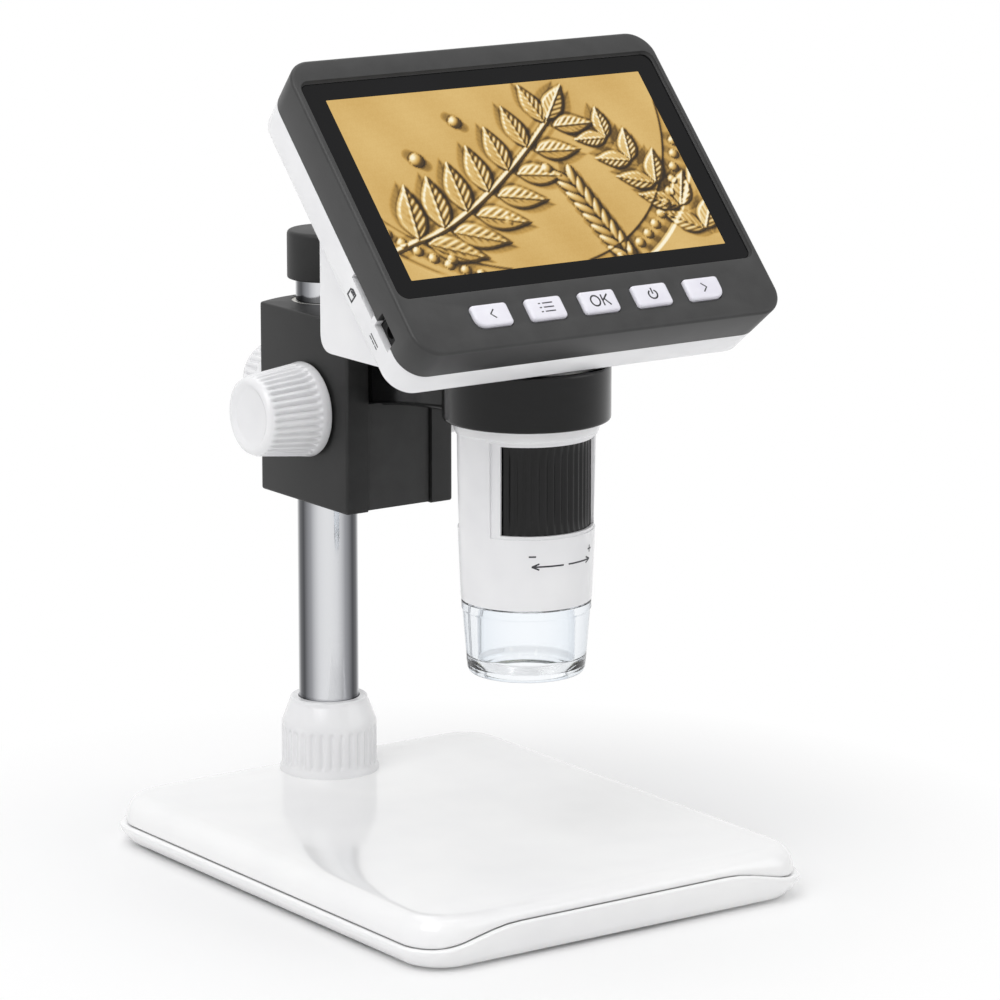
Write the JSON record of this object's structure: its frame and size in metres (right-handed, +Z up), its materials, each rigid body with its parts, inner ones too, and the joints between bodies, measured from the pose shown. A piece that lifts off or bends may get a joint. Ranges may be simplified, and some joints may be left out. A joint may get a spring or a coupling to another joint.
{
  "type": "desk microscope with screen",
  "caption": "White desk microscope with a slanted colour screen and push buttons on a round barrel, held by a black ring and a focusing block on a chromed pole over a flat white base.",
  "frame": {"origin": "middle of the whole object's footprint, on the surface that it stands on", "axes": "+X to the viewer's right when facing the screen, +Y to the back where the pole stands, +Z up"},
  "size_m": [0.122, 0.1618, 0.2151],
  "materials": {
    "white_shell": "gloss",
    "base_white": "gloss",
    "tray_white": "satin",
    "dark_body": "satin",
    "slider_dark": "satin",
    "black_gloss": "gloss",
    "bezel_grey": "satin",
    "button_white": "gloss",
    "nylon": "satin",
    "wheel_black": "matte",
    "inner_black": "matte",
    "clear_acrylic": "clear",
    "screen_glass": "gloss",
    "lens_glass": "polished",
    "display": "gloss",
    "chrome_tube": "polished",
    "steel": "satin",
    "brass": "satin",
    "circuit_board": "satin",
    "rubber_black": "matte",
    "foam": "matte",
    "cell": "satin",
    "lamp_white": "gloss"
  },
  "bodies": {
    "stand": {"base_top_shell": "base_white", "base_tray": "tray_white", "base_screws": "steel", "rubber_feet": "rubber_black", "ballast_plate": "steel", "bolt_washer": "steel", "pole_bolt": "steel", "pole_tube": "chrome_tube", "pole_insert": "steel", "pole_collar": "white_shell", "pole_cap": "dark_body"},
    "sleeve": {"pole_sleeve": "nylon"},
    "block": {"block_housing": "dark_body", "slide_gibs": "nylon", "shaft_bushes": "nylon", "clamp_nut": "brass"},
    "clamp_shoe": {"clamp_pad": "nylon"},
    "clamp": {"clamp_screw": "steel", "clamp_knob": "white_shell"},
    "focus": {"focus_shaft": "steel", "focus_pinion": "brass", "focus_knob_left": "white_shell", "focus_knob_right": "white_shell", "drag_washers": "nylon"},
    "carriage": {"slider_plate": "slider_dark", "arm_screws": "steel", "focus_rack": "brass", "arm_ring": "black_gloss"},
    "liner": {"ring_liner": "nylon"},
    "head": {"barrel_shell": "white_shell", "barrel_screws": "steel", "optical_chassis": "inner_black", "guide_pins": "steel", "sensor_board": "circuit_board", "image_sensor": "inner_black", "lamp_board": "circuit_board", "lamps": "lamp_white", "bezel": "bezel_grey", "rear_shell": "white_shell", "shell_screws": "steel", "neck_ring": "inner_black", "screen_window": "screen_glass", "lcd_panel": "display", "lcd_tray": "steel", "main_board": "circuit_board", "battery_pad": "foam", "battery_cell": "cell", "card_socket": "steel", "power_jack": "inner_black", "key_board": "circuit_board", "key_switches": "inner_black"},
    "wheel": {"focus_wheel": "wheel_black"},
    "lens": {"lens_carrier": "inner_black", "lens_glasses": "lens_glass"},
    "tip": {"clear_tip": "clear_acrylic"},
    "key_back": {"button_back": "button_white"},
    "key_menu": {"button_menu": "button_white"},
    "key_ok": {"button_ok": "button_white"},
    "key_power": {"button_power": "button_white"},
    "key_next": {"button_next": "button_white"}
  },
  "joints": [
    {"name": "sleeve_slide", "type": "slide", "parent": "stand", "child": "sleeve", "axis": [0, 0, 1], "range_m": [-0.024, 0.0055]},
    {"name": "block_swivel", "type": "hinge", "parent": "sleeve", "child": "block", "pos_m": [0, 0.0526, 0], "axis": [0, 0, 1], "continuous": true},
    {"name": "clamp_travel", "type": "slide", "parent": "block", "child": "clamp_shoe", "axis": [0, 1, 0], "range_m": [0, 0.0012]},
    {"name": "clamp_spin", "type": "hinge", "parent": "clamp_shoe", "child": "clamp", "pos_m": [0, 0.0526, 0.117], "axis": [0, 1, 0], "range_deg": [0, 540]},
    {"name": "focus_spin", "type": "hinge", "parent": "block", "child": "focus", "pos_m": [0, 0.0358, 0.117], "axis": [1, 0, 0], "range_deg": [-140, 140]},
    {"name": "carriage_slide", "type": "slide", "parent": "block", "child": "carriage", "axis": [0, 0, 1], "range_m": [-0.0117, 0.0117]},
    {"name": "head_swivel", "type": "hinge", "parent": "carriage", "child": "liner", "pos_m": [0, -0.0383, 0], "axis": [0, 0, 1], "range_deg": [-90, 90]},
    {"name": "head_lift", "type": "slide", "parent": "liner", "child": "head", "axis": [0, 0, 1], "range_m": [0, 0.085]},
    {"name": "wheel_spin", "type": "hinge", "parent": "head", "child": "wheel", "pos_m": [0, -0.0383, 0], "axis": [0, 0, 1], "range_deg": [-150, 150]},
    {"name": "lens_travel", "type": "slide", "parent": "head", "child": "lens", "axis": [0, 0, 1], "range_m": [-0.0033, 0.0033]},
    {"name": "tip_pull", "type": "slide", "parent": "head", "child": "tip", "axis": [0, 0, 1], "range_m": [-0.008, 0]},
    {"name": "press_back", "type": "slide", "parent": "head", "child": "key_back", "axis": [0, 0.7302, -0.6833], "range_m": [0, 0.0008], "stiffness_N_per_m": 800, "springref_m": -0.0004},
    {"name": "press_menu", "type": "slide", "parent": "head", "child": "key_menu", "axis": [0, 0.7302, -0.6833], "range_m": [0, 0.0008], "stiffness_N_per_m": 800, "springref_m": -0.0004},
    {"name": "press_ok", "type": "slide", "parent": "head", "child": "key_ok", "axis": [0, 0.7302, -0.6833], "range_m": [0, 0.0008], "stiffness_N_per_m": 800, "springref_m": -0.0004},
    {"name": "press_power", "type": "slide", "parent": "head", "child": "key_power", "axis": [0, 0.7302, -0.6833], "range_m": [0, 0.0008], "stiffness_N_per_m": 800, "springref_m": -0.0004},
    {"name": "press_next", "type": "slide", "parent": "head", "child": "key_next", "axis": [0, 0.7302, -0.6833], "range_m": [0, 0.0008], "stiffness_N_per_m": 800, "springref_m": -0.0004}
  ],
  "couplings": [
    {"joint": "clamp_spin", "follows": "clamp_travel", "rad_per_m": 7854},
    {"joint": "focus_spin", "follows": "carriage_slide", "rad_per_m": -208.33},
    {"joint": "wheel_spin", "follows": "lens_travel", "rad_per_m": 785.4}
  ]
}
